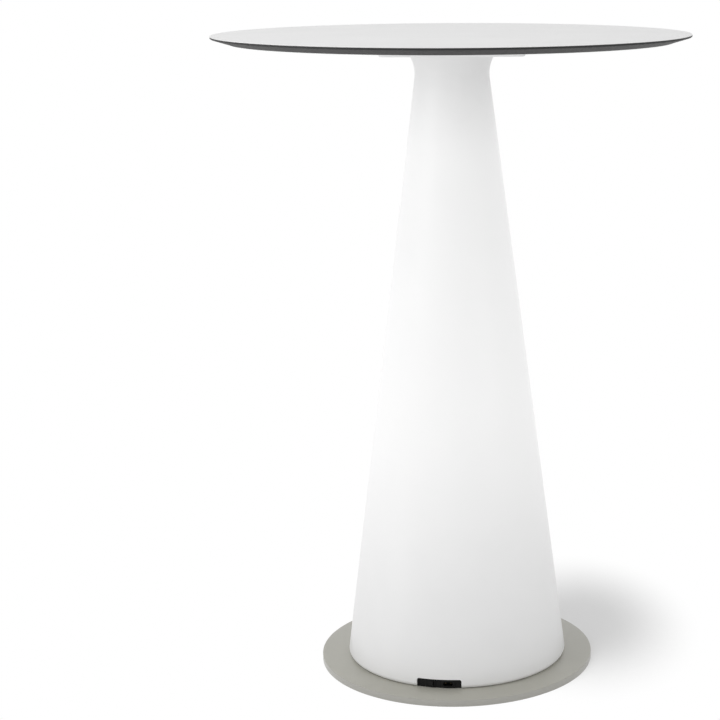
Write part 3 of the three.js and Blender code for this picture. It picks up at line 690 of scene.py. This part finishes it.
def makePan(sizes):
    low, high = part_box("top_mounting_pan")
    sheet, corner, flange = sizes["sheet"], sizes["corner"], sizes["flange"]
    width, bend = sizes["width"], sizes["bend"]
    wide, inside = width + 2 * flange, width - 2 * sheet
    outer = roundedBlock(width, width, corner, low.z, high.z, bend)
    rim = roundedBlock(wide, wide, corner + flange, high.z - sheet, high.z)
    inner = roundedBlock(
        inside, inside, corner - sheet, low.z + sheet, high.z + sheet, bend - sheet,
    )
    place("topMountingPan", cutAway(boolean("UNION", outer, rim), inner), ["top_mounting_pan"])


makePan(panSizes)

# Stem: the tapered shell with its flared neck, turned-in foot and notch
stemSizes = {
    "wall": 5 * mm, "neckRadius": 62.7 * mm, "flareReach": 24 * mm, "flareRise": 38 * mm,
    "flareHeight": 34 * mm, "footRadius": 193.6 * mm, "footRound": 7 * mm,
    "footFlange": 43 * mm, "footFlangeThickness": 8 * mm, "head": 12 * mm, "headBore": 38 * mm,
    "steps": 240, "rings": 12, "flankMargin": 30 * mm,
}
notchSizes = {
    "turn": math.radians(-9.5), "width": 77 * mm, "height": 16 * mm, "corner": 4 * mm,
    "past": 20 * mm,  # how far its cutter reaches past the foot
}


def stemProfile(sizes, bottom, top):
    height = top - bottom
    neck = height - sizes["flareHeight"]
    spread = sizes["flareRise"] * (sizes["footRadius"] - sizes["neckRadius"] - sizes["flareReach"])
    climb = sizes["flareReach"] * neck
    start = math.atan2(spread, climb) + math.asin(
        sizes["flareReach"] * sizes["flareRise"] / math.hypot(spread, climb)
    )
    slope = math.tan(start) * sizes["flareReach"] / sizes["flareRise"]
    lean = math.atan(slope)
    levelWall = sizes["wall"] / math.cos(lean)
    centre = sizes["neckRadius"] + sizes["flareReach"]
    edge = sizes["footRound"]
    edgeCentre = (sizes["footRadius"] - slope * edge - edge / math.cos(lean), edge)
    flankTop = neck - sizes["flareRise"] * math.sin(start)
    margin, rings = sizes["flankMargin"], sizes["rings"]
    heights = [margin + (flankTop - 2 * margin) * i / rings for i in range(rings + 1)]
    opening = sizes["footRadius"] - sizes["footFlange"]
    headRise = sizes["flareHeight"] - sizes["head"]
    end = math.asin(sizes["flareHeight"] / sizes["flareRise"])
    insideEnd = math.asin(headRise / sizes["flareRise"])
    reach, rise = sizes["flareReach"], sizes["flareRise"]
    points = [
        (opening, 0),
        *arcPoints(edgeCentre, edge, edge, -math.pi / 2, lean, 8),
        *[(sizes["footRadius"] - slope * z, z) for z in heights],
        *arcPoints((centre, neck), reach, rise, math.pi + start, math.pi - end, 20),
        (sizes["headBore"], height),
        (sizes["headBore"], height - sizes["head"]),
        *arcPoints(
            (centre - levelWall, neck), reach, rise, math.pi - insideEnd, math.pi + start, 10,
        ),
        *[(sizes["footRadius"] - slope * z - levelWall, z) for z in reversed(heights)],
        (sizes["footRadius"] - slope * sizes["footFlangeThickness"] - levelWall,
         sizes["footFlangeThickness"]),
        (opening, sizes["footFlangeThickness"]),
    ]
    return [(radius, bottom + z) for radius, z in points]


def notchCutter(notch, reach, bottom):
    # Block lying along -Y, flat below and rounded at its two upper corners
    drop = 5 * mm
    shape = bmesh.new()
    half = notch["width"] / 2
    outline = [(-half, -drop), (half, -drop), (half, notch["height"]), (-half, notch["height"])]
    corners = [shape.verts.new((x, 0, z)) for x, z in outline]
    shape.faces.new(corners)
    bmesh.ops.bevel(
        shape, geom=corners[2:], offset=notch["corner"], offset_type="OFFSET", affect="VERTICES",
        segments=8, profile=0.5, material=-1,
    )
    grown = bmesh.ops.extrude_face_region(shape, geom=shape.faces[:])
    moved = [v for v in grown["geom"] if isinstance(v, bmesh.types.BMVert)]
    bmesh.ops.translate(shape, verts=moved, vec=(0, -reach, 0))
    bmesh.ops.recalc_face_normals(shape, faces=shape.faces[:])
    bmesh.ops.rotate(
        shape, verts=shape.verts[:], cent=(0, 0, 0), matrix=Matrix.Rotation(notch["turn"], 3, "Z"),
    )
    bmesh.ops.translate(shape, verts=shape.verts[:], vec=(0, 0, bottom))
    return shape


def makeStem(sizes, notch):
    low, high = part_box("body_shell")
    whole = revolve(stemProfile(sizes, low.z, high.z), sizes["steps"], closed=True)
    shell = cutAway(whole, notchCutter(notch, sizes["footRadius"] + notch["past"], low.z))
    bmesh.ops.dissolve_degenerate(shell, dist=hair, edges=shell.edges[:])
    place("stemShell", shell, ["body_shell"])


makeStem(stemSizes, notchSizes)
print("top, pan and stem made")

# Base plate: a cut steel disc with softened edges, countersunk for its bolts from below
plateSizes = {
    "radius": 240 * mm, "edge": 0.8 * mm, "steps": 240, "boltRadius": 4.3 * mm,
    "sinkRadius": 8.3 * mm, "sinkDepth": 4.2 * mm, "padRoom": 0.3 * mm,
}


def makeBasePlate(sizes):
    low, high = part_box("base_plate")
    radius, edge = sizes["radius"], sizes["edge"]
    disc = revolve([
        (0, low.z),
        *arcPoints((radius - edge, low.z + edge), edge, edge, -math.pi / 2, 0, 3),
        *arcPoints((radius - edge, high.z - edge), edge, edge, 0, math.pi / 2, 3),
        (0, high.z),
    ], sizes["steps"])
    holes = bmesh.new()
    for i in range(boltCount):
        boltLow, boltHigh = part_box(f"base_bolt_{i + 1}")
        middle = (boltLow + boltHigh) / 2
        depth = sizes["sinkDepth"]
        for bottomRadius, topRadius, bottom, top in (
            (sizes["sinkRadius"], sizes["boltRadius"], low.z, low.z + depth),
            (sizes["sinkRadius"], sizes["sinkRadius"], low.z - through, low.z),
            (sizes["boltRadius"], sizes["boltRadius"], low.z + depth, high.z + through),
        ):
            bmesh.ops.create_cone(
                holes, cap_ends=False, segments=32, radius1=bottomRadius, radius2=topRadius,
                depth=top - bottom,
                matrix=Matrix.Translation((middle.x, middle.y, (bottom + top) / 2)),
            )
        padLow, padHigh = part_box(f"base_pad_{i + 1}")
        middle = (padLow + padHigh) / 2
        recess = (padHigh.x - padLow.x) / 2 + sizes["padRoom"]
        bmesh.ops.create_cone(
            holes, cap_ends=True, segments=48, radius1=recess, radius2=recess,
            depth=padHigh.z - low.z + through,
            matrix=Matrix.Translation((middle.x, middle.y, (low.z - through + padHigh.z) / 2)),
        )
    bmesh.ops.remove_doubles(holes, verts=holes.verts[:], dist=hair)
    bmesh.ops.holes_fill(holes, edges=[e for e in holes.edges if e.is_boundary], sides=0)
    bmesh.ops.recalc_face_normals(holes, faces=holes.faces[:])
    place("basePlate", cutAway(disc, holes), ["base_plate"])


makeBasePlate(plateSizes)

# Screws that show from below: a domed head with a six-sided socket
topScrewSizes = {
    "radius": 5.5 * mm, "height": 3.2 * mm, "dome": 1.1 * mm, "shaft": 3 * mm, "socket": 2.2 * mm,
    "socketDepth": 1.8 * mm,
}
baseBoltSizes = {
    "radius": 8 * mm, "sink": 4.2 * mm, "shaft": 4 * mm, "socket": 2.9 * mm, "socketDepth": 3 * mm,
    "headEase": 0.4 * mm, "headLand": 0.3 * mm,
}


def makeTopScrews(sizes):
    for i in range(boltCount):
        node = f"top_screw_{i + 1}"
        low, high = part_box(node)
        middle = (low + high) / 2
        radius, dome = sizes["radius"], sizes["dome"]
        head = revolve([
            (0, low.z), (radius - 2 * dome, low.z),
            *arcPoints((radius - dome, low.z + dome), dome, dome, -math.pi / 2, 0, 5)[1:],
            (radius, low.z + sizes["height"]), (sizes["shaft"], low.z + sizes["height"]),
            (sizes["shaft"], high.z), (0, high.z),
        ], 32)
        screw = cutAway(head, rod(
            sizes["socket"], (0, 0, low.z - through), (0, 0, low.z + sizes["socketDepth"]), 6,
        ))
        bmesh.ops.translate(screw, verts=screw.verts[:], vec=(middle.x, middle.y, 0))
        place(f"topScrew.{i + 1}", screw, [node])


def makeBaseBolts(sizes):
    for i in range(boltCount):
        node = f"base_bolt_{i + 1}"
        low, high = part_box(node)
        middle = (low + high) / 2
        bolt = revolve([
            (0, low.z), (sizes["radius"] - sizes["headEase"], low.z),
            (sizes["radius"], low.z + sizes["headLand"]),
            (sizes["shaft"], low.z + sizes["sink"]), (sizes["shaft"], high.z), (0, high.z),
        ], 32)
        bolt = cutAway(bolt, rod(
            sizes["socket"], (0, 0, low.z - through), (0, 0, low.z + sizes["socketDepth"]), 6,
        ))
        bmesh.ops.translate(bolt, verts=bolt.verts[:], vec=(middle.x, middle.y, 0))
        place(f"baseBolt.{i + 1}", bolt, [node])


makeTopScrews(topScrewSizes)
makeBaseBolts(baseBoltSizes)

# Glides under the base plate
padSizes = {"ease": 0.5 * mm, "steps": 64}


def makePads(sizes):
    for i in range(boltCount):
        node = f"base_pad_{i + 1}"
        low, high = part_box(node)
        middle, radius, ease = (low + high) / 2, (high.x - low.x) / 2, sizes["ease"]
        pad = revolve([
            (0, low.z),
            *arcPoints((radius - ease, low.z + ease), ease, ease, -math.pi / 2, 0, 4),
            (radius, high.z), (0, high.z),
        ], sizes["steps"])
        bmesh.ops.translate(pad, verts=pad.verts[:], vec=(middle.x, middle.y, 0))
        place(f"basePad.{i + 1}", pad, [node])


makePads(padSizes)
print("base plate, screws and glides made")

# Switch and power inlet in the notch, drawn facing -Y and then turned to their places
deviceSizes = {
    "front": -189.9 * mm,  # of both bezels, from the table's axis
    "middle": 7.7 * mm,  # over the base plate
    "turn": math.radians(4.6), "bezelHeight": 12.4 * mm, "bezelThickness": 1.5 * mm,
    "lip": 1.2 * mm, "bodyHeight": 9.6 * mm, "depth": 16 * mm, "corner": 1.2 * mm,
    "ease": 0.45 * mm,
}
switchSizes = {
    "bodyWidth": 14.8 * mm, "roomWidth": 13.2 * mm, "roomHeight": 8 * mm, "roomDepth": 8 * mm,
    "pivotDepth": 3 * mm, "pinRadius": 1 * mm, "pinSpan": 8.6 * mm, "pinRoom": 0.3 * mm,
    "rockerWidth": 11.2 * mm, "rockerHeight": 7.4 * mm, "valley": 3.4 * mm, "back": 2 * mm,
    "tilt": math.radians(10), "dip": 0.25 * mm, "ease": 0.35 * mm,
}
inletSizes = {
    "bodyWidth": 20 * mm, "recessWidth": 16.4 * mm, "recessHeight": 7.6 * mm,
    "recessCorner": 3.2 * mm, "recessDepth": 13 * mm, "pinSpacing": 8.6 * mm,
    "holeRadius": 1.5 * mm,
}


def placeDevice(name, shape, turn, node, sizes):
    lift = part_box("base_plate")[1].z + sizes["middle"]
    matrix = Matrix.Translation((0, 0, lift)) @ Matrix.Rotation(notchSizes["turn"] + turn, 4, "Z")
    bmesh.ops.transform(shape, verts=shape.verts[:], matrix=matrix)
    place(name, shape, [node])


def panelBody(width, sizes):
    front, middle = sizes["front"], sizes["front"] + sizes["bezelThickness"] / 2
    bezel = facing(
        width + 2 * sizes["lip"], sizes["bezelHeight"], sizes["corner"], front,
        front + sizes["bezelThickness"], sizes["ease"],
    )
    body = facing(width, sizes["bodyHeight"], sizes["corner"], middle, front + sizes["depth"])
    return boolean("UNION", bezel, body)


def makeSwitch(switch, sizes):
    front, over = sizes["front"], through
    pivot = front + switch["pivotDepth"]
    room = facing(
        switch["roomWidth"], switch["roomHeight"], switch["ease"], front - over,
        front + switch["roomDepth"],
    )
    reach = sizes["bodyHeight"]
    pinHole = rod(switch["pinRadius"] + switch["pinRoom"], (0, pivot, -reach), (0, pivot, reach))
    frameShape = cutAway(cutAway(panelBody(switch["bodyWidth"], sizes), room), pinHole)
    placeDevice("switchFrame", frameShape, -sizes["turn"], "switch_frame", sizes)

    half, steps = switch["rockerWidth"] / 2, 8
    edge = switch["valley"] + half * math.tan(switch["tilt"])
    shape = bmesh.new()
    outline = [(-half, switch["back"])]
    for i in range(2 * steps + 1):
        x = half * (i / steps - 1)
        share = abs(x) / half
        dip = 4 * switch["dip"] * share * (1 - share)
        outline.append((x, dip - switch["valley"] - (edge - switch["valley"]) * share))
    outline.append((half, switch["back"]))
    shape.faces.new([shape.verts.new((x, y, -switch["rockerHeight"] / 2)) for x, y in outline])
    grown = bmesh.ops.extrude_face_region(shape, geom=shape.faces[:])
    lifted = [v for v in grown["geom"] if isinstance(v, bmesh.types.BMVert)]
    bmesh.ops.translate(shape, verts=lifted, vec=(0, 0, switch["rockerHeight"]))
    bmesh.ops.recalc_face_normals(shape, faces=shape.faces[:])
    sharp = [e for e in shape.edges if e.calc_face_angle(0) > math.radians(50)]
    bmesh.ops.bevel(
        shape, geom=sharp, offset=switch["ease"], offset_type="OFFSET", affect="EDGES", segments=3,
        profile=0.5, material=-1, clamp_overlap=True,
    )
    halfSpan = switch["pinSpan"] / 2
    rocker = boolean("UNION", shape, rod(switch["pinRadius"], (0, 0, -halfSpan), (0, 0, halfSpan)))
    bmesh.ops.transform(
        rocker, verts=rocker.verts[:],
        matrix=Matrix.Translation((0, pivot, 0)) @ Matrix.Rotation(-switch["tilt"], 4, "Z"),
    )
    placeDevice("switchRocker", rocker, -sizes["turn"], "switch_rocker", sizes)


def makeInlet(inlet, sizes):
    front, over = sizes["front"], through
    shape = cutAway(panelBody(inlet["bodyWidth"], sizes), facing(
        inlet["recessWidth"], inlet["recessHeight"], inlet["recessCorner"], front - over,
        front + inlet["recessDepth"],
    ))
    for x in (-inlet["pinSpacing"] / 2, inlet["pinSpacing"] / 2):
        hole = rod(
            inlet["holeRadius"], (x, front + inlet["recessDepth"] - over, 0),
            (x, front + sizes["depth"] + over, 0),
        )
        shape = cutAway(shape, hole)
    placeDevice("powerInlet", shape, sizes["turn"], "power_inlet", sizes)


makeSwitch(switchSizes, deviceSizes)
makeInlet(inletSizes, deviceSizes)
print("switch and inlet made")
